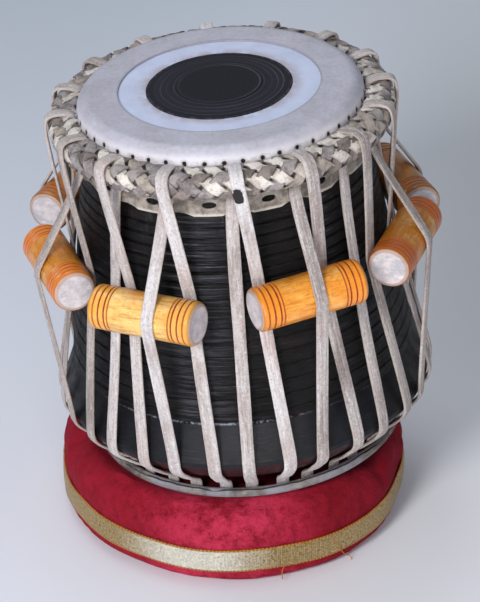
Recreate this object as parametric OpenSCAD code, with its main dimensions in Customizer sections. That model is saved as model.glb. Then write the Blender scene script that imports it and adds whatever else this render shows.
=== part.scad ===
// Tabla: laced hand drum standing on its ring cushion
// Millimetres, +Z up, floor at z = 0.
// The drum's own parts are drawn below its playing face (z = 0 there) and then leaned onto the cushion.

/* [Drum] */

// Diameter of the playing face, out to where the skin turns down
head_d = 152; // [144:1:158]
// Height of the drum from its playing face to the underside of its bottom ring
drum_h = 209; // [206:1:214]
// Lean of the drum on its cushion, toward -X (degrees)
lean = 4.4; // [0:0.2:5]
// Outward slope of the shell, as a fraction of the distance down
flare = 0.14; // [0.12:0.01:0.15]
// Diameter of the black tuning spot
spot_d = 79; // [70:1:84]
// Diameter of the window in the rim skin
window_d = 109; // [104:1:114]

/* [Lacing] */

// Number of strap loops over the braided hoop (an even number)
loops = 16; // [16:2:16]
// Angle of the first loop, from the front toward +X (degrees)
first_loop = 4.8; // [0:0.1:10]
// How far the hand-laced loops stray from even spacing (degrees)
loop_stray = 2; // [0:0.5:2]
// Width of the strap
strap_w = 7; // [6:0.5:7.5]
// Thickness of the strap
strap_t = 1.8; // [1.4:0.1:1.8]

/* [Tuning blocks] */

// Diameter of a tuning block
block_d = 24; // [22:0.5:25]
// Length of a tuning block
block_len = 61; // [56:1:63]
// Usual height of the block centres below the playing face
block_drop = 86; // [84:1:88]

/* [Cushion] */

// Outer diameter of the cushion cover
cushion_d = 194; // [190:1:200]
// Diameter of the hole through the cushion
cushion_hole_d = 68; // [60:1:76]
// Height of the cushion before the drum presses into it
cushion_h = 54; // [52:1:56]
// Width of the gold ribbon
ribbon_w = 14; // [11:0.5:15]

/* [Hidden] */

head_r = head_d / 2;
// height of the point about which the drum leans, level with the blocks
pivot_z = 50 + drum_h - block_drop;
base_z = -drum_h;
hoop_z = -15;
hoop_r = head_r + 10.7;
hoop_half_w = 4.4;
hoop_half_h = 5.2;
rim_z = base_z + 31;
rim_r = head_r + 27;
ring_r = head_r + 8;
ring_tube = 2.6;
ring_z = base_z + ring_tube;
round_r = 5;
slope = atan(flare);
skin_t = 0.8;
skirt_z = -36.6;
block_r = block_d / 2;
// tuning moves each block: its height above the usual one, and how far it sits off its strap
block_up = [-1, 5, 1.5, 0, -2, 2, 7, 0];
block_slip = [6, 2, 0, 3, -2, 4, 10, 4];
// swing of a strap from its loop to where it crosses a block, and to the shell's lower edge on either side
held_swing = -4.4;
left_foot = -4.4;
right_foot = 7.9;
cushion_r = cushion_d / 2;
ring_half_w = (cushion_d - cushion_hole_d) / 4;
ring_mid_r = (cushion_d + cushion_hole_d) / 4;
clear = 0.3;
spare = clear + strap_t / 2;
seam_z = cushion_h / 2 - 3.3 - ribbon_w / 2;
$fn = 96;

// radius of the shell's outside at a height below the playing face
function wall_r(z) = head_r - 2.5 - flare * z;
// a point on the shell's side, moved out by d along its normal
function wall(z, d) = [wall_r(z) + d * cos(slope), z + d * sin(slope)];
// middle of the rounding at the shell's mouth
round_z = -2.9 - round_r;
round_c = [wall_r(round_z) - round_r / cos(slope), round_z];
// the mouth's rounding, moved out by d
function mouth(d) = [
  for (a = [90:-6:slope + 3]) round_c + (round_r + d) * [cos(a), sin(a)]
];

// outline of a skin: over the mouth from radius r_in, down the side to height z_low
function skin_outline(r_in, z_low, d, t) = concat(
  [[r_in, round_c[1] + round_r + d + t]],
  mouth(d + t),
  [wall(z_low, d + t), wall(z_low, d)],
  [for (i = [len(mouth(d)) - 1:-1:0]) mouth(d)[i]],
  [[r_in, round_c[1] + round_r + d]]
);

// leans the drum's parts onto the cushion
module on_drum() {
  translate([0, 0, pivot_z])
    rotate([0, -lean, 0])
      translate([0, 0, block_drop])
        children();
}

// ---------- shell, skins and tuning spot ----------

// one shallow turned groove in the outside of the shell
function groove(z, deep) = [wall(z + 0.9, 0), wall(z, -deep), wall(z - 0.9, 0)];

module shell() {
  color("#1b1a1d")
    on_drum()
      rotate_extrude()
        polygon(concat(
          [[head_r - 15, round_c[1] + round_r]],
          mouth(0),
          [for (z = [-44:-6.2:-76]) each groove(z, 0.9)],
          [for (z = [-84:-8.2:base_z + 57]) each groove(z, 0.5)],
          [
            wall(base_z + 54.5, 0), wall(base_z + 53.9, -0.7),
            [rim_r - 1.6, rim_z + 5], [rim_r - 0.4, rim_z + 2.2],
            [rim_r - 0.2, rim_z], [rim_r - 1.2, rim_z - 2],
            [rim_r - 4, rim_z - 5], [rim_r - 9, rim_z - 10],
            [rim_r - 16, rim_z - 16], [rim_r - 26, rim_z - 22],
            [rim_r - 38, rim_z - 26.6], [rim_r - 54, rim_z - 29],
            [0, rim_z - 29.6]
          ],
          [[0, rim_z + 10], [head_r - 32, rim_z + 12], [head_r - 12, rim_z + 24],
           [head_r - 1, rim_z + 44], [head_r - 15, -22]]
        ));
}

module lining_skin() {
  color("#b9ab93")
    on_drum()
      rotate_extrude()
        polygon(skin_outline(head_r - 14, -20, 0.1, skin_t));
}

// oval holes between the loops, below the hoop
module skirt_holes() {
  for (i = [0:loops - 1])
    rotate([0, 0, first_loop + (i + 0.53) * 360 / loops])
      translate([0, -head_r - 4, skirt_z + 6.3])
        rotate([90, 0, 0])
          scale([1, 0.48, 1])
            cylinder(r = 3.8, h = 14, center = true, $fn = 32);
}

// shallow scallops in the skirt's edge, one at each loop
module skirt_scallops() {
  for (i = [0:loops - 1])
    rotate([0, 0, first_loop + i * 360 / loops])
      translate([0, -head_r - 4, skirt_z - 15.8])
        rotate([90, 0, 0])
          cylinder(r = 18, h = 14, center = true, $fn = 48);
}

module main_skin() {
  color("#d2d8ea")
    on_drum()
      difference() {
        rotate_extrude()
          polygon(skin_outline(0, skirt_z, 1, skin_t));
        skirt_holes();
        skirt_scallops();
      }
}

module rim_skin() {
  color("#b8b8c4")
    on_drum()
      rotate_extrude()
        polygon(skin_outline(window_d / 2, -21.5, 1.9, skin_t + 0.1));
}

// the crust of black paste, built up in five layers
module tuning_spot() {
  spot_r = spot_d / 2;
  low = -1.05;
  step = 0.32;
  color("#26262c")
    on_drum()
      rotate_extrude()
        polygon([
          [0, low], [spot_r, low], [spot_r - 0.3, low + step],
          [spot_r * 0.89, low + step], [spot_r * 0.885, low + 2 * step],
          [spot_r * 0.79, low + 2 * step], [spot_r * 0.785, low + 3 * step],
          [spot_r * 0.71, low + 3 * step], [spot_r * 0.705, low + 4 * step],
          [spot_r * 0.59, low + 4 * step], [spot_r * 0.58, low + 5 * step],
          [0, low + 5 * step]
        ]);
}

// ---------- straps as swept bands ----------

function mix(a, b, t) = a + (b - a) * t;
function unit(v) = v / norm(v);
// rounds the corners of a route given as [angle, radius, height]
function eased(p) = concat(
  [p[0]],
  [for (i = [0:len(p) - 2]) each [mix(p[i], p[i + 1], 0.25), mix(p[i], p[i + 1], 0.75)]],
  [p[len(p) - 1]]
);
function spot_at(q) = [q[1] * sin(q[0]), -q[1] * cos(q[0]), q[2]];
// direction of the route at station i
function heading(s, i) = unit(s[min(i + 1, len(s) - 1)] - s[max(i - 1, 0)]);
// direction across the band at station i
function across(q, t) = let (w = [cos(q[0]), sin(q[0]), 0]) unit(w - (w * t) * t);
// the four corners of the band at station i
function corners(p, s, i, w, h) =
  let (t = heading(s, i), u = across(p[i], t), n = cross(t, u))
    [for (c = [[-1, -1], [1, -1], [1, 1], [-1, 1]]) s[i] + u * c[0] * w / 2 + n * c[1] * h / 2];

// a flat band of width w and thickness h along a route of [angle, radius, height]
module band(route, w, h) {
  p = eased(route);
  s = [for (q = p) spot_at(q)];
  n = len(s);
  polyhedron(
    points = [for (i = [0:n - 1]) each corners(p, s, i, w, h)],
    faces = concat(
      [[0, 1, 2], [0, 2, 3]],
      [for (i = [0:n - 2], k = [0:3]) each [
        [4 * i + k, 4 * i + 4 + (k + 1) % 4, 4 * i + (k + 1) % 4],
        [4 * i + k, 4 * i + 4 + k, 4 * i + 4 + (k + 1) % 4]
      ]],
      [[4 * n - 4, 4 * n - 2, 4 * n - 3], [4 * n - 4, 4 * n - 1, 4 * n - 2]]
    ),
    convexity = 6
  );
}

// where the strap leaves the hoop: behind it, over it, and down its outside
function behind_r(z) = wall_r(z) + (2.8 + clear + strap_t / 2 + 0.2) * cos(slope);
outer_r = hoop_r + hoop_half_w + 2.6 + spare;
top_z = hoop_z + hoop_half_h + spare + 2;
below_z = hoop_z - hoop_half_h;

// over the hoop, from behind it to its outside
function over_hoop(a) = [
  [a - 0.8, behind_r(below_z + 1.2), below_z + 1.2], [a - 0.4, behind_r(hoop_z), hoop_z],
  [a, behind_r(hoop_z + 6), hoop_z + 6], [a, behind_r(hoop_z + 6) + 0.4, top_z - 1],
  [a, hoop_r, top_z + 0.4], [a, outer_r - 1, top_z - 0.6],
  [a + 0.2, outer_r, hoop_z + 2], [a + 0.8, outer_r, hoop_z - 5]
];

// round the shell's lower edge and in behind the bottom ring
function under_rim(a) = [
  [a, rim_r + spare + 0.4, rim_z + 7], [a, rim_r + spare + 0.5, rim_z - 1],
  [a, rim_r + spare - 2, rim_z - 5.6], [a, rim_r - 7.4, rim_z - 11.6],
  [a, rim_r - 14.4, rim_z - 18], [a, rim_r - 21.4, rim_z - 22.4],
  [a, ring_r - 4.6, ring_z + 3], [a, ring_r - 4.8, ring_z - 0.4]
];

// from the hoop's outside, pressed on the shell behind a block, to the lower edge at angle f
function pinned_run(a, f) = let (b = a + 3.2) concat(
  [
    [a + 1.8, outer_r - 3.4, -31], [a + 2.8, wall_r(-44) + 7, -44],
    [b, wall_r(-55) + spare + 0.6, -55], [mix(b, f, 0.1), wall_r(-64) + spare, -64],
    [mix(b, f, 0.4), wall_r(-96) + spare, -96], [mix(b, f, 0.65), wall_r(-124) + spare + 0.2, -124],
    [mix(b, f, 0.75), wall_r(-134) + 2.6, -134]
  ],
  under_rim(f)
);

// from behind the hoop, a little off the shell, to the lower edge at angle f
function free_run(a, f) = let (b = a - 3) concat(
  [
    [a - 1.2, behind_r(below_z), below_z], [a - 2.2, behind_r(-32), -32],
    [b, wall_r(-52) + 3, -52], [mix(b, f, 0.35), wall_r(-90) + 2.9, -90],
    [mix(b, f, 0.65), wall_r(-124) + 3.4, -124]
  ],
  under_rim(f)
);

// the turn at which a line from p meets a block's round, on the side given by s
function touch(i, p, s) =
  let (v = p - [strap_rc(i), block_z(i)])
    atan2(v[1], v[0]) + s * acos((block_r + spare + 0.35) / norm(v));

// from behind the hoop, over the front of block i, to the lower edge at angle f
function held_run(i, a, f) =
  let (top = [behind_r(-32) + 1, -32], low = [rim_r + spare + 0.4, rim_z + 7], h = a + held_swing,
       a1 = touch(i, top, -1), a2 = touch(i, low, 1), k = block_r + spare + 0.4)
    concat(
      [[a - 1.2, behind_r(below_z), below_z], [a - 2.8, top[0], top[1]]],
      [for (j = [0:6]) let (t = mix(a1, a2, j / 6))
        [h, strap_rc(i) + k * cos(t), block_z(i) + k * sin(t)]],
      under_rim(f)
    );

// loop k, counted round the hoop, and the even places of the straps' feet under it
function loop_at(k) = first_loop + k * 360 / loops + loop_stray * sin(45 * k);
function foot_at(k) = first_loop + k * 360 / loops;
// every second loop holds a block
function block_loop_k(i) = 2 * i - 3;
function free_loop_k(i) = 2 * i - 2;

// centre of block i: its height, its distance from the drum's axis and its angle
function block_z(i) = -block_drop + block_up[i - 1];
function block_rc(i) = wall_r(block_z(i)) + 2.3 + block_r;
function slip_angle(i) = atan(block_slip[i - 1] / block_rc(i));
function block_at(i) = loop_at(block_loop_k(i)) + held_swing - slip_angle(i);
// distance of its axis from the drum's, measured where the strap crosses it
function strap_rc(i) = block_rc(i) / cos(slip_angle(i));

module held_strap(i) {
  k = block_loop_k(i);
  color("#dcd4cc")
    on_drum()
      band(held_run(i, loop_at(k), foot_at(k) + left_foot), strap_w, strap_t);
}

module block_loop(i) {
  k = block_loop_k(i);
  a = loop_at(k);
  color("#e2dcd6")
    on_drum()
      band(concat(over_hoop(a), pinned_run(a, foot_at(k) + right_foot)), strap_w, strap_t);
}

// a free run, the turn over the hoop and a pinned run in one length
module free_loop(i) {
  k = free_loop_k(i);
  a = loop_at(k);
  up = free_run(a, foot_at(k) + left_foot);
  color("#e0d8d2")
    on_drum()
      band(
        concat(
          [for (j = [len(up) - 1:-1:1]) up[j]],
          over_hoop(a),
          pinned_run(a, foot_at(k) + right_foot)
        ),
        strap_w, strap_t
      );
}

// ---------- braided hoop and bottom ring ----------

module hoop_core() {
  straight = hoop_half_h - hoop_half_w;
  color("#cfc8b4")
    on_drum()
      rotate_extrude()
        translate([hoop_r, hoop_z])
          union() {
            square([2 * hoop_half_w, 2 * straight], center = true);
            translate([0, straight])
              circle(r = hoop_half_w, $fn = 32);
            translate([0, -straight])
              circle(r = hoop_half_w, $fn = 32);
          }
}

// one turn of the plait, from the skin's edge over the hoop and down under it
function plait_route(a) = let (z = hoop_z, h = hoop_half_h) [
  [a - 1.5, behind_r(z + h - 1) + 0.5, z + h - 1], [a - 1.5, hoop_r - 4.6, z + h + 1.2],
  [a - 1.2, hoop_r, z + h + 1.6], [a - 0.8, hoop_r + 4.6, z + h + 0.2],
  [a - 0.4, hoop_r + 5.3, z + h - 4], [a + 0.8, hoop_r + 5.3, z - h + 4],
  [a + 1.3, hoop_r + 4.6, z - h], [a + 1.5, hoop_r + 1.6, z - h - 1.4],
  [a + 1.5, hoop_r - 1, z - h - 1.5]
];

module hoop_plait() {
  color("#e6e0d0")
    on_drum()
      for (i = [0:loops - 1], k = [-1, 0, 1])
        band(plait_route((loop_at(i) + loop_at(i + 1)) / 2 + k * 4.6), 4.2, 0.9);
}

module bottom_ring() {
  color("#8f8884")
    on_drum()
      rotate_extrude()
        translate([ring_r, ring_z])
          circle(r = ring_tube, $fn = 32);
}

// ---------- tuning blocks ----------

// a turned round block with rounded ends and four fine grooves near each end
module tuning_block(i) {
  h = block_len / 2;
  edge = 2.6;
  end_half = concat(
    [[0, h], [block_r - edge, h]],
    [for (a = [75:-15:0]) [block_r - edge + edge * cos(a), h - edge + edge * sin(a)]],
    [for (d = [3.9, 7.2, 10.6, 12.6]) each [
      [block_r, h - d + 0.5], [block_r - 0.5, h - d], [block_r, h - d - 0.5]
    ]]
  );
  color("#d8902f")
    on_drum()
      rotate([0, 0, block_at(i)])
        translate([0, -block_rc(i), block_z(i)])
          rotate([0, 90, 0])
            rotate_extrude()
              polygon(concat(
                end_half,
                [for (k = [len(end_half) - 1:-1:0]) [end_half[k][0], -end_half[k][1]]]
              ));
}

// ---------- cushion ----------

// section of the cushion, drawn in from its cover's outside by d, flat where it stands on the floor
function puff(c, n) = sign(c) * pow(abs(c), 2 / n);
function cushion_outline(d) = [
  for (a = [0:6:354]) let (n = a > 180 ? 8 : 2.3, low = a > 180 ? 0.7 : 0)
    [ring_mid_r + (ring_half_w - d) * puff(cos(a), n),
     max(d, cushion_h / 2 + (cushion_h / 2 + low - d) * puff(sin(a), n))]
];

// the hollow that the drum's underside presses into the cushion, grown by d
module seat(d) {
  on_drum()
    rotate_extrude()
      polygon([
        [0, base_z - 0.2 - d], [ring_r + 1.5, base_z - 0.2 - d],
        [ring_r + 5.6 + 0.7 * d, base_z + 2.4 - 0.7 * d],
        [ring_r + 8.6 + d, base_z + 9], [rim_r + 5 + d, rim_z - 3 - 0.5 * d],
        [rim_r + 5 + d, -100], [0, -100]
      ]);
}

module cushion_body(d) {
  difference() {
    rotate_extrude()
      polygon(cushion_outline(d));
    seat(d);
  }
}

// the cover is sewn from two panels that meet under the ribbon
module cover_panel(low, high) {
  intersection() {
    difference() {
      cushion_body(0);
      cushion_body(1.2);
    }
    translate([0, 0, low])
      cylinder(r = cushion_r + 5, h = high - low);
  }
}

module cushion_top() {
  color("#a01f35")
    cover_panel(seam_z + 0.1, cushion_h + 2);
}

module cushion_base() {
  color("#8c1b2f")
    cover_panel(-1, seam_z - 0.1);
}

module cushion_stuffing() {
  color("#d9cfae")
    cushion_body(1.5);
}

module cushion_ribbon() {
  color("#c9a94a")
    translate([0, 0, seam_z - ribbon_w / 2])
      rotate_extrude()
        translate([cushion_r + 0.15, 0])
          square([0.8, ribbon_w]);
}

// ---------- the named parts ----------

shell();
lining_skin();
main_skin();
rim_skin();
tuning_spot();
hoop_core();
hoop_plait();
bottom_ring();
tuning_block(1);  // tuning_block_1
tuning_block(2);  // tuning_block_2
tuning_block(3);  // tuning_block_3
tuning_block(4);  // tuning_block_4
tuning_block(5);  // tuning_block_5
tuning_block(6);  // tuning_block_6
tuning_block(7);  // tuning_block_7
tuning_block(8);  // tuning_block_8
held_strap(1);  // held_strap_1
held_strap(2);  // held_strap_2
held_strap(3);  // held_strap_3
held_strap(4);  // held_strap_4
held_strap(5);  // held_strap_5
held_strap(6);  // held_strap_6
held_strap(7);  // held_strap_7
held_strap(8);  // held_strap_8
block_loop(1);  // block_loop_1
block_loop(2);  // block_loop_2
block_loop(3);  // block_loop_3
block_loop(4);  // block_loop_4
block_loop(5);  // block_loop_5
block_loop(6);  // block_loop_6
block_loop(7);  // block_loop_7
block_loop(8);  // block_loop_8
free_loop(1);  // free_loop_1
free_loop(2);  // free_loop_2
free_loop(3);  // free_loop_3
free_loop(4);  // free_loop_4
free_loop(5);  // free_loop_5
free_loop(6);  // free_loop_6
free_loop(7);  // free_loop_7
free_loop(8);  // free_loop_8
cushion_stuffing();
cushion_top();
cushion_base();
cushion_ribbon();
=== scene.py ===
import math
import random

import bpy
from mathutils import Matrix, Vector, noise


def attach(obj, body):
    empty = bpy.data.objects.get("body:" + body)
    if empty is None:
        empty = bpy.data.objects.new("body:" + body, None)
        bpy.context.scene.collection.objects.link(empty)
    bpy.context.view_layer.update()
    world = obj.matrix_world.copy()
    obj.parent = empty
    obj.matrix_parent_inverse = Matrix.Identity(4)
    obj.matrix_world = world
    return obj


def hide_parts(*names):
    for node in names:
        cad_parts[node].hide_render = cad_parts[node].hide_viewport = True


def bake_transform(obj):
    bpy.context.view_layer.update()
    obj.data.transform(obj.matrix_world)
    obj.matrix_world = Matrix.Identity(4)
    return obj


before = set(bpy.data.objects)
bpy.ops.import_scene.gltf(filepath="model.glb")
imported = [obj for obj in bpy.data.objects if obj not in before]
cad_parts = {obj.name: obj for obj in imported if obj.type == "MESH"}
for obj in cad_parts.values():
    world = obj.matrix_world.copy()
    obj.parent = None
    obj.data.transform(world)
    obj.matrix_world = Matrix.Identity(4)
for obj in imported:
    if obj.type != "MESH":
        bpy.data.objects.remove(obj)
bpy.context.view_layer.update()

# ---- sizes in millimetres, as in part.scad

HEAD_D, DRUM_H, LEAN, FLARE, SPOT_D, WINDOW_D = 152.0, 209.0, 4.4, 0.14, 79.0, 109.0
LOOPS, FIRST_LOOP, LOOP_STRAY, STRAP_W, STRAP_T = 16, 4.8, 2.0, 7.0, 1.8
BLOCK_D, BLOCK_LEN, BLOCK_DROP = 24.0, 61.0, 86.0
BLOCK_UP = (-1, 5, 1.5, 0, -2, 2, 7, 0)
BLOCK_SLIP = (6, 2, 0, 3, -2, 4, 10, 4)
HELD_SWING, LEFT_FOOT, RIGHT_FOOT = -4.4, -4.4, 7.9
CUSHION_D, CUSHION_HOLE_D, CUSHION_H, RIBBON_W = 194.0, 68.0, 54.0, 14.0

HEAD_R = HEAD_D / 2
PIVOT_Z = 50 + DRUM_H - BLOCK_DROP
BASE_Z = -DRUM_H
HOOP_Z, HOOP_R, HOOP_HALF_W, HOOP_HALF_H = -15.0, HEAD_R + 10.7, 4.4, 5.2
RIM_Z, RIM_R = BASE_Z + 31, HEAD_R + 27
RING_R, RING_Z = HEAD_R + 8, BASE_Z + 2.6
SKIRT_Z = -36.6
GROOVE_Z, GROOVE_PITCH, SCRAPE_Z = -44.0, 6.2, BASE_Z + 53
PLAIT_ENDS, PLAIT_ROW, HOLE_Z = 48, 5.4, -7.2
HOLE_STEP = math.tau * (HEAD_R + 2.7) / PLAIT_ENDS
SPARE = 0.3 + STRAP_T / 2
PITCH = 360 / LOOPS
OUTER_R = HOOP_R + HOOP_HALF_W + 2.6 + SPARE
TOP_Z = HOOP_Z + HOOP_HALF_H + SPARE + 2
BELOW_Z, CLEAR_Z = HOOP_Z - HOOP_HALF_H, -32
BLOCK_R, BLOCK_GAP = BLOCK_D / 2, 2.3
SEAT_X = 0.001 * (PIVOT_Z - 50) * math.tan(math.radians(LEAN))
RING_MID_R = (CUSHION_D + CUSHION_HOLE_D) / 4
RING_HALF_W = (CUSHION_D - CUSHION_HOLE_D) / 4
SEAM_Z = CUSHION_H / 2 - 3.3 - RIBBON_W / 2

DRUM = (
    Matrix.Translation((0, 0, PIVOT_Z))
    @ Matrix.Rotation(math.radians(-LEAN), 4, "Y")
    @ Matrix.Translation((0, 0, BLOCK_DROP))
)


def mix(a, b, t):
    return a + (b - a) * t


def wall_r(z):
    """Radius of the shell's outside at height z below the playing face."""
    return HEAD_R - 2.5 - FLARE * z


def polar(a, r, z):
    """Angle from the front toward +X in degrees, radius and height, as a point."""
    t = math.radians(a)
    return Vector((r * math.sin(t), -r * math.cos(t), z))


def sideways(a):
    """The level direction square to the radius at an angle in degrees."""
    return Vector((math.cos(math.radians(a)), math.sin(math.radians(a)), 0))


def angle_of(point):
    return math.degrees(math.atan2(point.x, -point.y))


def reach_of(point):
    return math.hypot(point.x, point.y)


def placed(point, local=True):
    """A point in millimetres as a point of the scene in metres."""
    return (DRUM @ point if local else point) * 0.001


def linked(name, data):
    obj = bpy.data.objects.new(name, data)
    bpy.context.scene.collection.objects.link(obj)
    return obj


# ---- camera


def add_camera():
    data = bpy.data.cameras.new("camera")
    data.lens = 173.4
    data.sensor_width = 36
    camera = linked("camera", data)
    place = Vector((-0.0068, -1.3938, 0.9430))
    aim = Vector((0.0041, 0.0, 0.1242))
    turn = (aim - place).to_track_quat("-Z", "Y").to_matrix().to_4x4()
    camera.matrix_world = Matrix.Translation(place) @ turn @ Matrix.Rotation(math.radians(-0.25), 4, "Z")
    bpy.context.scene.camera = camera


add_camera()

# ---- node materials


class Value:
    """A node's output. Sums, products and so on of values are further nodes."""

    def __init__(self, nodes, socket):
        self.nodes = nodes
        self.socket = socket

    def combined(self, operation, a, b):
        vector = self.socket.type != "VALUE" or isinstance(b, tuple)
        return (self.nodes.vector if vector else self.nodes.math)(operation, a, b)

    def __add__(self, other):
        return self.combined("ADD", self, other)

    __radd__ = __add__

    def __sub__(self, other):
        return self.combined("SUBTRACT", self, other)

    def __rsub__(self, other):
        return self.combined("SUBTRACT", other, self)

    def __mul__(self, other):
        return self.combined("MULTIPLY", self, other)

    def __truediv__(self, other):
        return self.combined("DIVIDE", self, other)

    def __abs__(self):
        return self.nodes.math("ABSOLUTE", self)


class Nodes:
    """Short calls for one material's node tree: a colour laid up in layers, and bumps on bumps."""

    def __init__(self, name):
        self.material = bpy.data.materials.new(name)
        self.material.use_nodes = True
        self.tree = self.material.node_tree
        self.color = None
        self.normal = None

    def put(self, target, value):
        if isinstance(value, Value):
            self.tree.links.new(value.socket, target)
        elif isinstance(value, tuple) and len(value) == 3 and target.type == "RGBA":
            target.default_value = (*value, 1)
        else:
            target.default_value = value

    def node(self, kind, settings=None, out=0, **inputs):
        """Adds a node. An input is given by its name, or as i0, i1 and so on by its number."""
        n = self.tree.nodes.new(f"ShaderNode{kind}")
        for key, value in (settings or {}).items():
            setattr(n, key, value)
        for key, value in inputs.items():
            numbered = key[0] == "i" and key[1:].isdigit()
            self.put(n.inputs[int(key[1:]) if numbered else key.replace("_", " ")], value)
        return Value(self, n.outputs[out])

    def math(self, operation, a, b=0.0):
        return self.node("Math", {"operation": operation}, i0=a, i1=b)

    def vector(self, operation, a, b=(0, 0, 0), out=0):
        return self.node("VectorMath", {"operation": operation}, out, i0=a, i1=b)

    def ramp(self, value, low, high, top=1.0, bottom=0.0):
        """value from low..high taken smoothly to bottom..top, held at the ends."""
        kind = {"interpolation_type": "SMOOTHSTEP"}
        return self.node("MapRange", kind, i0=value, i1=low, i2=high, i3=bottom, i4=top)

    def mix(self, factor, a, b, kind="MIX"):
        return self.node("Mix", {"data_type": "RGBA", "blend_type": kind}, 2, i0=factor, i6=a, i7=b)

    def layer(self, factor, color):
        """Lays a colour over the material's colour so far."""
        self.color = self.mix(factor, self.color, color)

    def noise(self, place, scale, detail=4, rough=0.55, out=0):
        return self.node("TexNoise", None, out, Vector=place, Scale=scale, Detail=detail, Roughness=rough)

    def place(self):
        """Where the point is on the part at rest, in metres."""
        return self.node("TexCoord", None, 3)

    def uv(self):
        return self.node("TexCoord", None, 2)

    def drum_place(self):
        """Where the point is in the drum's own upright frame, in millimetres."""
        back = DRUM.inverted()
        return self.node(
            "Mapping", {"vector_type": "POINT"}, 0, Vector=self.place(),
            Location=tuple(back.translation), Rotation=tuple(back.to_euler()), Scale=(1000, 1000, 1000),
        )

    def scaled(self, vector, factor):
        """A fixed direction times a changing amount."""
        return self.node("VectorMath", {"operation": "SCALE"}, 0, i0=vector, Scale=factor)

    def split(self, vector):
        x = self.node("SeparateXYZ", None, 0, i0=vector)
        return x, *(Value(self, socket) for socket in x.socket.node.outputs[1:])

    def join(self, x, y, z):
        return self.node("CombineXYZ", None, 0, i0=x, i1=y, i2=z)

    def angle_at(self, x, y):
        """Degrees from the front toward +X."""
        return self.math("ARCTAN2", x, y * -1) * math.degrees(1)

    def drum_polar(self):
        """Angle (degrees from the front), radius and height in the drum's frame."""
        x, y, z = self.split(self.drum_place())
        return self.angle_at(x, y), self.math("SQRT", x * x + y * y), z

    def around(self, angle, size, third):
        """A point that goes once round a circle with the angle, so that noise there has no seam."""
        turn = angle * math.radians(1)
        return self.join(self.math("COSINE", turn) * size, self.math("SINE", turn) * size, third)

    def bump(self, height, strength, distance):
        """Lays a bump over the material's bumps so far."""
        below = {"Normal": self.normal} if self.normal else {}
        self.normal = self.node("Bump", None, 0, Height=height, Strength=strength, Distance=distance, **below)

    def done(self, **inputs):
        if self.normal:
            inputs["Normal"] = self.normal
        for key, value in {"Base_Color": self.color, **inputs}.items():
            self.put(self.tree.nodes["Principled BSDF"].inputs[key.replace("_", " ")], value)
        return self.material


def paint(obj, material):
    obj.data.materials.clear()
    obj.data.materials.append(material)
    return obj


# ---- materials


# clean and worn patches of rawhide, each from its lightest to its darkest strap
LIGHT_HIDE = ((0.76, 0.74, 0.76), (0.45, 0.385, 0.36))
DULL_HIDE = ((0.52, 0.45, 0.44), (0.25, 0.195, 0.175))


def blended(a, b, t):
    return tuple(mix(p, q, t) for p, q in zip(a, b))


def dimmed(color, factor):
    return tuple(min(0.9, c * factor) for c in color)


def rawhide(name, seed, tone, far_tone):
    """Rawhide strap: fine fuzzy nap, white to beige and pink, creased lengthwise, with pale cut edges."""
    n = Nodes(name)
    place = n.place() + (seed, seed * 0.7, seed * 1.3)
    across, along, _ = n.split(n.uv())
    fibre = n.noise(n.join(across * 1.5, along * 0.07, seed), 3.4, 6, 0.75)
    crease = n.noise(n.join(across * 1.1, along * 0.012, seed * 1.9), 2.2, 3, 0.6)
    stretch = n.noise(n.join(across * 0.4, along * 0.024, seed * 2.1), 1.0, 4, 0.65)
    nap = n.noise(n.join(across * 5.0, along * 0.55, seed), 3.0, 5, 0.8)
    change = n.ramp(along, 185, 215)
    light = n.mix(change, blended(*LIGHT_HIDE, tone), blended(*LIGHT_HIDE, far_tone))
    dull = n.mix(change, blended(*DULL_HIDE, tone), blended(*DULL_HIDE, far_tone))
    n.color = n.mix(n.ramp(stretch, 0.4, 0.62), light, dull)
    deep = n.mix(1.0, dull, (0.62, 0.57, 0.54), "MULTIPLY")
    n.layer(n.ramp(crease, 0.5, 0.66, 0.3), deep)
    n.layer(n.ramp(crease, 0.46, 0.34, 0.4), (0.86, 0.85, 0.88))
    n.layer(n.ramp(fibre, 0.5, 0.68, 0.4), deep)
    n.layer(n.ramp(fibre, 0.46, 0.32, 0.36), (0.86, 0.85, 0.88))
    n.layer(n.ramp(n.noise(place + (3, 1, 2), 48, 4, 0.6), 0.5, 0.68, 0.35), (0.6, 0.43, 0.4))
    n.layer(n.ramp(nap, 0.52, 0.66, 0.42), deep)
    n.layer(n.ramp(nap, 0.47, 0.35, 0.5), (0.9, 0.89, 0.92))
    fuzz = n.noise(place, 640, 6, 0.8)
    n.layer(n.ramp(fuzz, 0.52, 0.65, 0.65), deep)
    n.layer(n.ramp(fuzz, 0.46, 0.34, 0.5), (0.92, 0.91, 0.94))
    n.layer(n.ramp(abs(across), 0.84, 0.99) * 0.55, n.mix(0.5, dull, (0.6, 0.53, 0.47)))
    n.bump(fuzz, 0.6, 0.0006)
    n.bump(fibre, 0.65, 0.001)
    n.bump(crease, 0.6, 0.0016)
    return n.done(Roughness=0.82, Sheen_Weight=0.25, Sheen_Roughness=0.5, Specular_IOR_Level=0.22)


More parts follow.
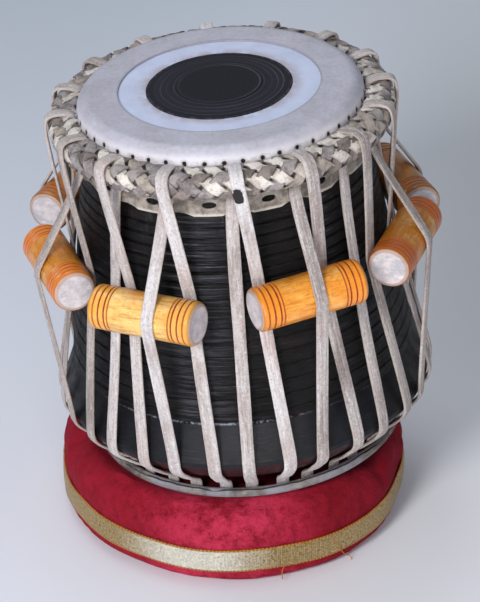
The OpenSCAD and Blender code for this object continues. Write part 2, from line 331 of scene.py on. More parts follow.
def strip_hide(name, light, dark, seed, gloss):
    """Thin skin strip of the plait: fibrous lines along it, grubby patches and dark edges."""
    n = Nodes(name)
    place = n.place() + (seed, seed, seed)
    across, along, _ = n.split(n.uv())
    lines = n.noise(n.join(across * 1.8, along * 0.12, seed), 4, 6, 0.75)
    n.color = n.mix(n.ramp(n.noise(place, 150, 5, 0.7), 0.42, 0.62), light, dark)
    n.layer(n.ramp(lines, 0.5, 0.66, 0.65), dimmed(dark, 0.45))
    n.layer(n.ramp(lines, 0.44, 0.32, 0.45), dimmed(light, 1.35))
    grime = n.noise(place, 700, 4, 0.7)
    n.layer(n.ramp(grime, 0.55, 0.7, 0.22), (0.14, 0.11, 0.1))
    n.layer(n.ramp(abs(across), 0.78, 1.0) * 0.6, dimmed(dark, 0.35))
    n.bump(lines, 0.7, 0.0008)
    n.bump(grime, 0.45, 0.0005)
    return n.done(Roughness=gloss, Specular_IOR_Level=0.4)


def playing_skin():
    """Pale stretched skin: bluish white, with a pink-grey smudge round the spot, cream on the skirt."""
    n = Nodes("playing_skin")
    _, radius, z = n.drum_polar()
    place = n.drum_place()
    cloud = n.noise(place, 0.05, 4, 0.6)
    grain = n.noise(place, 0.9, 5, 0.7)
    n.color = n.mix(n.ramp(cloud, 0.35, 0.7), (0.6, 0.66, 0.86), (0.53, 0.58, 0.76))
    n.layer(n.ramp(grain, 0.52, 0.72, 0.25), (0.47, 0.5, 0.62))
    near = n.ramp(radius, SPOT_D / 2 + 8, SPOT_D / 2 - 0.5)
    n.layer(near * n.ramp(n.noise(place, 0.13, 5, 0.7), 0.32, 0.58) * 0.8, (0.4, 0.34, 0.38))
    stain = n.ramp(n.noise(place, 0.16, 5, 0.7), 0.38, 0.62)
    cream = n.mix(stain, (0.36, 0.32, 0.28), (0.15, 0.125, 0.105))
    n.layer(n.ramp(z, -20.5, -23.5), cream)
    edge_z = z + n.noise(place, 0.5, 4, 0.7) * 2.0
    n.layer(n.ramp(edge_z, SKIRT_Z + 3.2, SKIRT_Z + 1.8) * 0.7, (0.66, 0.6, 0.53))
    n.bump(grain, n.ramp(z, -20, -24, 0.7, 0.15), 0.0006)
    n.bump(cloud, 0.25, 0.0012)
    return n.done(Roughness=0.44, Subsurface_Weight=0.08, Subsurface_Scale=0.003)


def rim_skin():
    """Lilac-grey rim skin with faint mottling, painted shadow along its inner edge, a painted highlight round
    its rolled edge, and the row of small holes the plait is sewn through, their dark insides painted as
    shade.
    """
    n = Nodes("rim_skin")
    angle, radius, z = n.drum_polar()
    place = n.drum_place()
    cloud = n.ramp(n.noise(place, 0.035, 5, 0.65), 0.35, 0.68)
    mottle = n.noise(place, 0.35, 6, 0.75)
    n.color = n.mix(cloud, (0.5, 0.495, 0.58), (0.41, 0.4, 0.465))
    n.layer(n.ramp(mottle, 0.47, 0.68, 0.45), (0.33, 0.3, 0.33))
    n.layer(n.ramp(mottle, 0.45, 0.32, 0.3), (0.62, 0.62, 0.7))
    n.layer(n.ramp(n.noise(place, 1.4, 5, 0.75), 0.54, 0.72, 0.4), (0.6, 0.6, 0.67))
    # painted shadow: a thin dark line along the inner edge, where the rim skin meets the playing skin
    n.layer(n.ramp(radius, WINDOW_D / 2 + 1.3, WINDOW_D / 2) * 0.6, (0.24, 0.23, 0.27))
    # painted highlight: the rolled edge is made paler all round
    n.layer(n.ramp(z, -1.8, -6.0, 0.8), (0.74, 0.72, 0.78))
    stain = n.ramp(z, -4.5, -7.0) * n.ramp(n.noise(place, 0.3, 4, 0.7), 0.45, 0.65)
    n.layer(stain * 0.5, (0.36, 0.28, 0.25))
    turn = (angle - FIRST_LOOP) / (360 / PLAIT_ENDS)
    stray = n.noise(n.join(n.math("FLOOR", turn), 0.5, 0.5), 3.7, 0) - 0.5
    middle = 0.5 + stray * 0.25
    side = (n.math("FRACT", turn) - middle) * HOLE_STEP
    rise = z - HOLE_Z + stray * 1.2
    away = n.math("SQRT", side * side + rise * rise)
    rag = n.noise(place, 0.8, 3) * 0.9
    hole = n.ramp(away + rag, 1.85, 1.45)
    pucker = n.ramp(away + rag, 3.2, 1.8)
    n.layer(pucker * 0.35, (0.24, 0.2, 0.2))
    # painted shade: the near-black inside of each hole
    n.layer(hole, (0.01, 0.009, 0.01))
    n.bump(mottle, 0.3, 0.0006)
    n.bump(n.noise(place, 0.08, 3), 0.3, 0.0015)
    n.bump(pucker, -0.6, 0.001)
    rough = n.ramp(mottle, 0.35, 0.65, 0.56, 0.4) + hole * 0.4
    return n.done(Roughness=rough, Specular_IOR_Level=0.4)


def paste():
    """Matt charcoal paste with fine crackle, faint polished rings and painted highlights along the ring
    edges, brightest toward the +X side.
    """
    n = Nodes("tuning_paste")
    angle, radius, _ = n.drum_polar()
    place = n.drum_place()
    edges = n.node("TexVoronoi", {"feature": "DISTANCE_TO_EDGE"}, 0, Vector=place, Scale=0.75)
    crack = n.ramp(edges, 0.06, 0.0)
    dust = n.noise(place, 1.3, 6, 0.78)
    rings = n.noise(n.join(radius * 0.9, 0.0, 0.0), 1.0, 5, 0.7)
    n.color = n.mix(n.ramp(dust, 0.38, 0.68), (0.0045, 0.0045, 0.0085), (0.011, 0.011, 0.018))
    n.layer(n.ramp(rings, 0.5, 0.75, 0.4), (0.02, 0.02, 0.03))
    n.layer(n.ramp(radius, 20, 30) * n.ramp(radius, 39, 33) * 0.45, (0.024, 0.024, 0.036))
    # painted highlights: thin pale lines along the paste's rings, brighter toward the +X side
    waver = n.noise(n.around(angle, 1.2, 2.0), 1.0, 3) * 1.2
    side = n.ramp(n.noise(n.around(angle, 0.7, radius), 1.0, 3), 0.38, 0.62, 0.9, 0.25)
    side = side * n.ramp(n.math("SINE", angle * math.radians(1)), -0.2, 0.7, 1.0, 0.45)
    for r in (22.0, 24.4, 28.2, 31.6, 34.8):
        gap = abs(radius + waver - (r + 0.6))
        n.layer(n.ramp(gap, 0.62, 0.15) * side, (0.075, 0.078, 0.105))
    edge = n.ramp(n.noise(place, 0.4, 4, 0.7), 0.45, 0.6)
    edge = edge * n.ramp(radius, SPOT_D / 2 - 2.5, SPOT_D / 2 - 0.3)
    n.layer(edge * 0.5, (0.12, 0.11, 0.13))
    n.layer(crack * 0.4, (0.004, 0.004, 0.005))
    n.bump(crack, -0.35, 0.0003)
    n.bump(dust, 0.4, 0.0004)
    n.bump(rings, 0.25, 0.0004)
    return n.done(Roughness=n.ramp(dust, 0.3, 0.7, 0.75, 0.5), Specular_IOR_Level=0.22)


def shell_lacquer():
    """Black lacquer on turned wood: lathe lines, scuffs, a scraped groove and a dark red underside, with
    painted sheen on the smooth band and painted highlights on the groove lips and ridges, all strongest
    toward the front.
    """
    n = Nodes("shell_lacquer")
    angle, _, z = n.drum_polar()
    place = n.drum_place()
    flat = place * (0.034, 0.034, 1.0)
    lines = n.noise(flat, 0.85, 6, 0.82)
    fine = n.noise(flat + (9, 4, 0), 3.4, 5, 0.75)
    blotch = n.noise(place, 0.032, 5, 0.65)
    smooth = n.ramp(z, SCRAPE_Z + 0.4, SCRAPE_Z - 0.4)
    grooved = 1.0 - smooth
    n.color = n.mix(n.ramp(blotch, 0.36, 0.66), (0.0012, 0.001, 0.0013), (0.005, 0.0042, 0.005))
    # painted sheen: the smooth band is painted paler grey toward the front
    front = n.ramp(abs(angle - 4.0), 62, 26, 1.0, 0.25)
    grey = n.mix(n.ramp(blotch, 0.36, 0.66), (0.008, 0.0085, 0.011), (0.015, 0.016, 0.021))
    n.layer(smooth * front, grey)
    hair = n.ramp(n.noise(place * (0.05, 0.05, 2.6), 1.0, 4, 0.8), 0.54, 0.68, 0.5)
    n.layer(hair * smooth, (0.05, 0.052, 0.064))
    n.layer(n.ramp(n.noise(place + (50, 0, 0), 0.055, 5, 0.65), 0.54, 0.72, 0.5), (0.02, 0.009, 0.008))
    dust = n.ramp(lines, 0.53, 0.7) * n.ramp(fine, 0.4, 0.62)
    n.layer(dust * grooved * 0.7, (0.085, 0.085, 0.098))
    scuff = n.ramp(n.noise(place * (0.14, 0.14, 1.5), 1.0, 6, 0.8), 0.645, 0.7, 0.5)
    n.layer(scuff * grooved, (0.26, 0.26, 0.3))
    rub = n.ramp(n.noise(place * (0.3, 0.3, 0.035), 1.0, 5, 0.7), 0.52, 0.74, 0.5)
    n.layer(rub * n.ramp(z, -60, -42), (0.06, 0.06, 0.068))
    # painted highlights: in a sheen zone round the front, the groove lips get bright lines and the ridges are
    # painted paler
    sheen = n.noise(n.around(angle, 2.6, 7.0), 1.0, 2)
    sheen = n.math("MAXIMUM", n.ramp(sheen, 0.52, 0.66, 0.6), n.ramp(abs(angle + 13.0), 15, 4))
    step = n.math("FRACT", (z - (GROOVE_Z - 0.9)) / -GROOVE_PITCH)
    lip_highlight = n.ramp(abs(step - 0.28), 0.085, 0.02) * n.ramp(z, -84, -79)
    catch = n.noise(n.around(angle, 2.9, z * 0.11), 1.0, 3, 0.6)
    lip_highlight = lip_highlight * n.ramp(catch, 0.4, 0.66, 1.0, 0.1)
    n.layer(lip_highlight * sheen * 0.7, (0.3, 0.3, 0.36))
    ridge_sheen = n.ramp(lines, 0.46, 0.6) * sheen * grooved
    n.layer(ridge_sheen * 0.8, (0.06, 0.061, 0.074))
    band = n.ramp(z, SCRAPE_Z - 0.1, SCRAPE_Z + 0.8) * n.ramp(z, SCRAPE_Z + 2.2, SCRAPE_Z + 1.4)
    patchy = n.ramp(n.noise(place * (0.25, 0.25, 0.1), 1.0, 5, 0.8), 0.44, 0.56)
    patchy = patchy * n.ramp(abs(angle + 10.0), 42, 10, 0.9, 0.1)
    n.layer(band * patchy, (0.34, 0.36, 0.44))
    n.layer(n.ramp(z, RIM_Z + 1.0, RIM_Z - 3.0, 0.9), (0.03, 0.006, 0.009))
    n.bump(lines, 0.12 + grooved * 0.55, 0.0012)
    n.bump(fine, 0.3, 0.0005)
    rough = n.ramp(n.noise(place, 0.2, 5, 0.7), 0.3, 0.7, 0.50, 0.30)
    return n.done(Roughness=rough, Specular_IOR_Level=0.19)


def block_lacquer(name, middle, axis, seed, hue, band):
    """Lacquered turned wood: yellow to brown, darker at the ends, with red grooves and bare end grain."""
    n = Nodes(name)
    offset = n.place() - tuple(middle)
    axial = n.vector("DOT_PRODUCT", offset, axis, 1) * 1000.0
    shadow = offset - n.scaled(axis, axial / 1000.0)
    radius = n.vector("LENGTH", shadow, out=1) * 1000.0
    far = abs(axial)
    place = n.place() + (seed, seed * 0.5, 0)
    half = BLOCK_LEN / 2
    yellow, orange, dark = (0.88, 0.60, 0.20), (0.90, 0.34, 0.030), (0.38, 0.150, 0.010)
    low, high, t = (yellow, orange, hue * 2) if hue < 0.5 else (orange, dark, hue * 2 - 1)
    base = blended(low, high, t)
    deep = blended(base, (0.72, 0.19, 0.008), 0.55)
    pale = blended(base, (0.98, 0.74, 0.32), 0.45)
    strands = place * (210, 210, 210) + n.scaled(axis, axial * -0.19)
    grain = n.noise(strands, 2.0, 6, 0.74)
    blotch = n.noise(place, 62, 5, 0.68)
    mottle = n.noise(place, 420, 4, 0.7)
    streak = n.noise(strands + (5, 5, 5), 5.0, 5, 0.72)
    n.color = n.mix(n.ramp(blotch, 0.44, 0.62), base, deep)
    n.layer(n.ramp(blotch, 0.46, 0.32, 0.8), pale)
    n.layer(n.ramp(grain, 0.49, 0.64, 0.75), dimmed(deep, 0.6))
    n.layer(n.ramp(grain, 0.46, 0.3, 0.6), pale)
    n.layer(n.ramp(streak, 0.52, 0.66, 0.65), dimmed(deep, 0.55))
    n.layer(n.ramp(streak, 0.44, 0.32, 0.4), pale)
    n.layer(n.ramp(mottle, 0.54, 0.68, 0.55), dimmed(deep, 0.6))
    stain = n.mix(n.ramp(n.noise(place, 130, 4, 0.7), 0.4, 0.62), band, blended(base, band, 0.72))
    n.layer(n.ramp(far + blotch * 4.0, half - 14.5, half - 8.0, 0.85), stain)
    for from_end, strength in ((3.9, 0.8), (7.2, 1.0), (10.6, 1.0), (12.6, 0.75)):
        away = abs(far - (half - from_end))
        n.layer(n.ramp(away + mottle * 0.6, 1.0, 0.45, strength), (0.27, 0.02, 0.002))
    n.layer(n.ramp(far, half - 2.6, half - 0.6, 0.75), dimmed(band, 0.5))
    end = n.ramp(far + mottle * 0.3, half - 0.75, half - 0.35)
    scratch = n.noise(place * (160, 160, 620), 1.0, 6, 0.8)
    worn = n.noise(place, 120, 5, 0.72)
    bare = n.mix(n.ramp(worn, 0.36, 0.66), (0.70, 0.62, 0.62), (0.43, 0.42, 0.46))
    bare = n.mix(n.ramp(scratch, 0.52, 0.66, 0.5), bare, (0.86, 0.81, 0.80))
    bare = n.mix(n.ramp(scratch, 0.38, 0.26, 0.6), bare, (0.20, 0.14, 0.12))
    bare = n.mix(n.ramp(radius, BLOCK_R - 3.2, BLOCK_R - 2.0, 0.7), bare, (0.38, 0.22, 0.14))
    n.layer(end, bare)
    n.bump(grain, 0.22, 0.0005)
    n.bump(mottle, 0.15, 0.0004)
    n.bump(scratch, end * 0.5, 0.0006)
    rough = n.ramp(grain, 0.3, 0.7, 0.42, 0.26) + end * 0.32
    return n.done(Roughness=rough, Coat_Weight=(1.0 - end) * 0.3, Coat_Roughness=0.16)


def velvet():
    """Crimson velvet: light and dark patches of pile, a painted highlight brightest at the front, painted
    shade toward the right side and painted shade under the drum.
    """
    n = Nodes("velvet")
    place = n.place()
    x, y, _ = n.split(place)
    angle = n.angle_at(x, y)
    warp = n.noise(place, 14, 3, 0.6, out=1)
    brushed = n.noise(place + warp * (0.03, 0.03, 0.03), 24, 6, 0.68)
    fine = n.noise(place * (1.0, 1.6, 1.0), 150, 6, 0.78)
    pile = n.noise(place, 1300, 5, 0.8)
    reach = n.vector("LENGTH", n.join(x, y, 0.0), out=1) * 1000.0
    # painted highlight: brighter pink-crimson patches of pile toward the front
    front = n.ramp(abs(angle + 3.0), 38, 4) * n.ramp(reach, 68, 86)
    shine = brushed * 0.55 + fine * 0.45
    n.color = n.mix(n.ramp(shine, 0.66, 0.36), (0.23, 0.007, 0.016), (0.37, 0.012, 0.03))
    bright = n.ramp(shine, 0.62, 0.4) * front
    n.layer(bright * 0.62, (0.8, 0.062, 0.15))
    n.layer(n.ramp(fine, 0.53, 0.7, 0.5), (0.14, 0.004, 0.01))
    n.layer(n.ramp(pile, 0.5, 0.66, 0.5), (0.13, 0.004, 0.009))
    shade = n.ramp(angle, 12, 70, 0.6) * n.ramp(angle, 178, 120)
    n.layer(shade, (0.13, 0.004, 0.009))
    # painted shade: the velvet under the drum's bowl, inside the bottom ring, is darkened and loses its sheen
    under = n.vector("LENGTH", n.join(x - SEAT_X, y, 0.0), out=1)
    under_drum_shade = n.ramp(under + fine * 0.004, 0.001 * RING_R, 0.001 * RING_R - 0.004, 0.8)
    n.layer(under_drum_shade, (0.035, 0.0015, 0.003))
    n.bump(pile, 0.8, 0.0009)
    n.bump(fine, 0.8, 0.0022)
    return n.done(
        Roughness=0.9, Sheen_Weight=(1.0 - under_drum_shade) * 0.22, Sheen_Roughness=0.3,
        Sheen_Tint=(0.95, 0.12, 0.22), Specular_IOR_Level=0.08,
    )


def gold_braid():
    """Metallic ribbon: glittering diagonal weave of pale gold with orange-gold edge threads, a painted
    highlight across the front and painted glints.
    """
    n = Nodes("gold_braid")
    along, up, _ = n.split(n.uv())
    cross = n.math("SINE", (along + up) * 4.2) * n.math("SINE", (along - up) * 4.2)
    ribs = n.math("SINE", along * 5.2)
    spark = n.noise(n.join(along, up * 1.2, 0.0), 0.62, 3, 0.9)
    # painted highlight: a near-white band round the front, with less metal; the glints are painted pale
    # specks, whiter in that band
    highlight_wobble = n.noise(n.place(), 45, 5, 0.65)
    x, y, _ = n.split(n.place())
    angle = n.angle_at(x, y)
    front_highlight = n.ramp(abs(angle + 7.0 + highlight_wobble * 14.0), 30, 6)
    plain = n.mix(n.ramp(cross, -0.5, 0.6), (0.34, 0.20, 0.060), (0.58, 0.41, 0.16))
    lit = n.mix(n.ramp(cross, -0.5, 0.6), (1.0, 0.93, 0.72), (1.0, 1.0, 0.95))
    n.color = n.mix(front_highlight, plain, lit)
    n.layer(n.ramp(ribs, 0.2, 0.9, 0.25), (0.98, 0.9, 0.64))
    glint = n.mix(front_highlight, (0.86, 0.70, 0.36), (1.0, 1.0, 0.94))
    n.layer(n.ramp(spark, 0.54, 0.62, 0.9), glint)
    dark = 0.85 - front_highlight * 0.6
    n.layer(n.ramp(spark, 0.47, 0.39) * dark, (0.2, 0.12, 0.025))
    edge = n.ramp(abs(up - RIBBON_W / 2), RIBBON_W / 2 - 1.2, RIBBON_W / 2 - 0.7)
    twist = n.ramp(n.math("SINE", along * 3.0), -0.5, 0.5)
    n.layer(edge, n.mix(twist, (0.76, 0.36, 0.07), (0.52, 0.19, 0.025)))
    n.bump(cross, 0.8, 0.0007)
    n.bump(spark, 0.9, 0.0008)
    return n.done(Metallic=0.42 - front_highlight * 0.36, Roughness=n.ramp(spark, 0.38, 0.66, 0.26, 0.48))


def dark_hide(name, color_a, color_b):
    n = Nodes(name)
    place = n.place()
    n.color = n.mix(n.ramp(n.noise(place, 90, 5, 0.65), 0.36, 0.66), color_a, color_b)
    fibre = n.noise(place, 600, 5, 0.75)
    n.layer(n.ramp(fibre, 0.5, 0.72, 0.6), dimmed(color_a, 0.4))
    n.bump(fibre, 0.6, 0.0008)
    return n.done(Roughness=0.8)


def ring_hide():
    """Greyish rawhide of the bottom ring, twisted lengthwise."""
    n = Nodes("bottom_ring")
    angle, radius, z = n.drum_polar()
    place = n.place()
    lines = n.noise(n.around(angle, 2.9, (radius + z * 1.7) * 0.55), 1.2, 6, 0.75)
    patch = n.noise(place, 80, 5, 0.7)
    n.color = n.mix(n.ramp(patch, 0.38, 0.62), (0.3, 0.275, 0.265), (0.13, 0.112, 0.108))
    n.layer(n.ramp(lines, 0.5, 0.66, 0.7), (0.085, 0.07, 0.065))
    n.layer(n.ramp(n.noise(place, 700, 4, 0.75), 0.54, 0.7, 0.5), (0.12, 0.095, 0.09))
    cool = n.noise(n.around(angle, 4.0, 3.0), 1.0, 3, 0.6)
    n.layer(n.ramp(cool, 0.46, 0.62, 0.7), (0.3, 0.3, 0.345))
    turn = n.math("ARCTAN2", z - RING_Z, radius - RING_R)
    wander = n.noise(n.around(angle, 2.6, 8.0), 1.0, 3, 0.6)
    seam = abs(turn - wander * 2.2)
    seam = n.ramp(seam, 0.26, 0.08) * n.ramp(wander, 0.36, 0.5)
    n.layer(seam * 0.85, (0.018, 0.014, 0.015))
    n.bump(lines, 0.8, 0.0012)
    n.bump(1.0 - seam, 0.8, 0.0016)
    return n.done(Roughness=0.8, Specular_IOR_Level=0.25)


# painted shade: the near-black of a hole's unlit inside
def hole_shade():
    n = Nodes("hole_shade")
    n.color = n.mix(n.noise(n.place(), 900, 3), (0.006, 0.005, 0.006), (0.03, 0.026, 0.03))
    return n.done(Roughness=0.9)


# ---- meshes in the drum's frame


def new_piece(name, points, faces, material, body, local=True, uvs=None):
    mesh = bpy.data.meshes.new(name)
    mesh.from_pydata([placed(p, local) for p in points], [], faces)
    if uvs is not None:
        layer = mesh.uv_layers.new(name="UVMap")
        for loop in mesh.loops:
            layer.data[loop.index].uv = uvs[loop.vertex_index]
    mesh.shade_smooth()
    obj = paint(linked(name, mesh), material)
    if body:
        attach(obj, body)
    return obj


def eased(route, times=3):
    """Rounds the corners of a route given as (angle, radius, height)."""
    for _ in range(times):
        inner = []
        for p, q in zip(route, route[1:]):
            inner.append(p.lerp(q, 0.25))
            inner.append(p.lerp(q, 0.75))
        route = [route[0], *inner, route[-1]]
    return route


def even(points, step):
    """The same line with points a fixed distance apart."""
    lengths = [0.0]
    for p, q in zip(points, points[1:]):
        lengths.append(lengths[-1] + (q - p).length)
    count = max(2, round(lengths[-1] / step))
    out, k = [], 0
    for i in range(count + 1):
        target = lengths[-1] * i / count
        while k < len(lengths) - 2 and lengths[k + 1] < target:
            k += 1
        span = lengths[k + 1] - lengths[k]
        out.append(points[k].lerp(points[k + 1], (target - lengths[k]) / span if span else 0))
    return out


def band_mesh(line, width, thick, seed, sides=14, cup=0.0, twist=4.0, ragged=0.12, narrow=0.0,
              run=0.0, closed=(True, True)):
    """A flat band along a line, from run on along its strap: points, faces and (across, along) of each."""
    points, uvs = [], []
    for i, p in enumerate(line):
        ahead = line[min(i + 1, len(line) - 1)] - line[max(i - 1, 0)]
        t = ahead.normalized()
        w = sideways(angle_of(p))
        u = (w - w.dot(t) * t).normalized()
        n = u.cross(t) * -1
        if i:
            run += (p - line[i - 1]).length
        turn = math.radians(twist) * noise.noise((run * 0.018, seed * 3.1, 0))
        u, n = u * math.cos(turn) + n * math.sin(turn), n * math.cos(turn) - u * math.sin(turn)
        wide = width / 2 * (1 + 0.06 * noise.noise((run * 0.03, seed * 1.7, 5)))
        wide *= 1 - 0.6 * max(0.0, 1 - run / narrow) if narrow else 1
        fat = thick / 2 * (1 + 0.12 * noise.noise((run * 0.05, seed * 2.3, 9)))
        for k in range(sides):
            a = math.tau * (k + 0.5) / sides
            c, s = math.cos(a), math.sin(a)
            x = math.copysign(abs(c) ** 0.45, c)
            y = math.copysign(abs(s) ** 0.60, s)
            rag = ragged * noise.noise((run * 0.35, seed * 5 + math.copysign(3, x), 2)) * abs(x)
            lift = cup * (x * x - 0.5)
            points.append(p + u * (x * wide + rag) + n * (y * fat + lift))
            uvs.append((x, run))
    faces = []
    for i in range(len(line) - 1):
        for k in range(sides):
            a, b = i * sides + k, i * sides + (k + 1) % sides
            faces.append((a, b, b + sides, a + sides))
    last = (len(line) - 1) * sides
    if closed[0]:
        faces.append(tuple(range(sides - 1, -1, -1)))
    if closed[1]:
        faces.append(tuple(range(last, last + sides)))
    return points, faces, uvs


# ---- lacing routes, as in part.scad


def behind_r(z):
    return wall_r(z) + (2.8 + 0.3 + STRAP_T / 2 + 0.2) * math.cos(math.atan(FLARE))


def over_hoop(a):
    """From behind the hoop over its top to its outside, at a: (angle, radius, height) as in every route."""
    return [
        (a - 0.8, behind_r(BELOW_Z + 1.2), BELOW_Z + 1.2), (a - 0.4, behind_r(HOOP_Z), HOOP_Z),
        (a, behind_r(HOOP_Z + 6), HOOP_Z + 6), (a, behind_r(HOOP_Z + 6) + 0.4, TOP_Z - 1),
        (a, HOOP_R, TOP_Z + 0.4), (a, OUTER_R - 1, TOP_Z - 0.6),
        (a + 0.2, OUTER_R, HOOP_Z + 2), (a + 0.8, OUTER_R, HOOP_Z - 5),
    ]


def under_rim(a):
    return [
        (a, RIM_R + SPARE + 0.4, RIM_Z + 7), (a, RIM_R + SPARE + 0.5, RIM_Z - 1),
        (a, RIM_R + SPARE - 2, RIM_Z - 5.6), (a, RIM_R - 7.4, RIM_Z - 11.6),
        (a, RIM_R - 14.4, RIM_Z - 18), (a, RIM_R - 21.4, RIM_Z - 22.4),
        (a, RING_R - 4.6, RING_Z + 3), (a, RING_R - 4.8, RING_Z - 0.4),
    ]


def pinned_at(a, f):
    """The angle at which a strap passes behind a block."""
    return mix(a + 3.2, f, 0.28)


def pinned_run(a, f, i):
    """Taut from the hoop's outside to the back of block i, and on to the shell's lower edge."""
    z, h = block_z(i), pinned_at(a, f)
    off = math.radians((h - block_at(i) + 180) % 360 - 180)
    r = (wall_r(z) + BLOCK_GAP) / math.cos(off) - SPARE - 0.2
    return [(h, r + 0.4, z + 5), (h, r, z), (h, r + 0.6, z - 5)] + under_rim(f)


def free_run(a, f):
    """The run of a loop that goes over no block, from behind the hoop to the foot at f."""
    b = a - 3
    return [
        (a - 1.2, behind_r(BELOW_Z), BELOW_Z), (a - 2.2, behind_r(CLEAR_Z), CLEAR_Z),
        (b, wall_r(-52) + 3, -52), (mix(b, f, 0.35), wall_r(-90) + 2.9, -90),
        (mix(b, f, 0.65), wall_r(-124) + 3.4, -124),
    ] + under_rim(f)


def loop_at(k):
    return FIRST_LOOP + k * PITCH + LOOP_STRAY * math.sin(math.radians(45 * k))


def angles_of(k):
    """Where loop k goes over the hoop, and where its left and right runs reach the bottom ring."""
    foot = FIRST_LOOP + k * PITCH
    return loop_at(k), foot + LEFT_FOOT, foot + RIGHT_FOOT


def block_loop_k(i):
    return 2 * i - 3


def block_z(i):
    return -BLOCK_DROP + BLOCK_UP[i - 1]


def block_rc(i):
    return wall_r(block_z(i)) + BLOCK_GAP + BLOCK_R


def slip_angle(i):
    return math.atan(BLOCK_SLIP[i - 1] / block_rc(i))


def block_at(i):
    return loop_at(block_loop_k(i)) + HELD_SWING - math.degrees(slip_angle(i))


def strap_rc(i):
    return block_rc(i) / math.cos(slip_angle(i))


FREE_TONES = ((0.50, 0.02), (0.70, 0.85), (0.80, 0.60), (0.35, 0.50))
HELD_TONES = (0.18, 0.72, 0.95, 0.55, 0.40)
HELD_TOP = (behind_r(CLEAR_Z) + 1, CLEAR_Z)
HELD_LOW = (RIM_R + SPARE + 0.4, RIM_Z + 7)
SLIT_Z = -18.4


def touch(i, p, side):
    """The turn round block i at which a strap from p touches it."""
    v = (p[0] - strap_rc(i), p[1] - block_z(i))
    return math.atan2(v[1], v[0]) + side * math.acos((BLOCK_R + SPARE + 0.35) / math.hypot(*v))


def held_run(i, a, f):
    a1, a2, k = touch(i, HELD_TOP, -1), touch(i, HELD_LOW, 1), BLOCK_R + SPARE + 0.4
    round_block = [
        (a + HELD_SWING, strap_rc(i) + k * math.cos(mix(a1, a2, j / 6)),
         block_z(i) + k * math.sin(mix(a1, a2, j / 6)))
        for j in range(7)
    ]
    return [(a - 1.2, behind_r(BELOW_Z), BELOW_Z), (a - 2.8, *HELD_TOP)] + round_block + under_rim(f)


def line_of(route, step=2.0):
    return even([polar(*q) for q in eased([Vector(q) for q in route])], step)


def nearest(line, point):
    return min(range(len(line)), key=lambda j: (line[j] - point).length)


def length_of(line):
    return sum((q - p).length for p, q in zip(line, line[1:]))


def add_strap(name, node, line, hide, body, ends=None, **shape):
    """A length of strap that rides on a body or, given ends, is baked in place on no body."""
    points, faces, uvs = band_mesh(line, STRAP_W, STRAP_T, **shape)
    piece = new_piece(name, points, faces, hide, None if ends else body, uvs=uvs)
    if ends:
        placed(ends[0])
        placed(ends[1])
        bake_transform(piece)
    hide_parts(node)


def add_halves(name, node, line, split, i, ends, hide, run=0.0, closed=True, **shape):
    """A run in two lengths that meet at block i."""
    body = f"block_{i}"
    upper, lower = line[: split + 1], line[split:]
    add_strap(f"{name}_upper", node, upper, hide, body, ends[0], run=run, closed=(closed, False), **shape)
    run += length_of(upper)
    add_strap(f"{name}_lower", node, lower, hide, body, ends[1], run=run, closed=(False, True), **shape)


def add_pinned(name, node, line, a, f, i, hide, **shape):
    """The outer run of a loop, in two lengths that meet behind block i."""
    z, h = block_z(i), pinned_at(a, f)
    behind = nearest(line, polar(h, wall_r(z) + 3, z))
    r = reach_of(line[behind])
    ends = (
        (polar(a + 0.8, OUTER_R, HOOP_Z - 7), polar(h, r, z + 6)),
        (polar(f, HELD_LOW[0], HELD_LOW[1] + 4), polar(h, r, z - 6)),
    )
    add_halves(name, node, line, behind, i, ends, hide, cup=0.12, twist=2.0, **shape)


def add_held(i, a, f, hide):
    """The run over block i, in two lengths that meet in front of it."""
    line = line_of(held_run(i, a, f))
    front = max(range(len(line)), key=lambda j: reach_of(line[j]))
    ends = []
    for start, turn in (
        ((a - 2.8, HELD_TOP[0], HELD_TOP[1] - 1), touch(i, HELD_TOP, -1)),
        ((f, HELD_LOW[0], HELD_LOW[1] + 1), touch(i, HELD_LOW, 1)),
    ):
        r, z = strap_rc(i) + BLOCK_R * math.cos(turn), block_z(i) + BLOCK_R * math.sin(turn)
        ends.append((polar(*start), polar(a + HELD_SWING, r, z)))
    shape = {"seed": 40 + i, "twist": 0.0, "ragged": 0.06}
    add_halves(f"strap_held_{i}", f"held_strap_{i}", line, front, i, ends, hide, **shape)


def add_slit(line):
    """The oval slit at the edge of the front loop, where it comes down over the hoop: a near-black patch
    painted as the shade inside it.
    """
    outside = [k for k, p in enumerate(line) if reach_of(p) > OUTER_R - 2]
    k = min(outside, key=lambda k: abs(line[k].z - SLIT_Z))
    along = (line[k + 1] - line[k - 1]).normalized()
    wide = sideways(angle_of(line[k]))
    out = wide.cross(along).normalized() * -1
    middle = line[k] - wide
    points, faces = [middle + out * 1.02], []
    turns = 28
    for ring, lift in ((0.55, 1.06), (1.0, 1.08)):
        for j in range(turns):
            t = math.tau * j / turns
            c, d = math.cos(t), math.sin(t)
            boxed = (abs(c) ** 3 + abs(d) ** 3) ** 0.2
            size = ring * (1 + 0.30 * noise.noise((2.4 * c, 2.4 * d, 4))) / boxed
            points.append(middle + (wide * 2.5 * c + along * 4.4 * d) * size + out * lift)
    for j in range(turns):
        n = (j + 1) % turns
        faces.append((0, 1 + j, 1 + n))
        faces.append((1 + j, 1 + turns + j, 1 + turns + n, 1 + n))
    slit = new_piece("strap_slit", points, faces, hole_shade(), "drum")


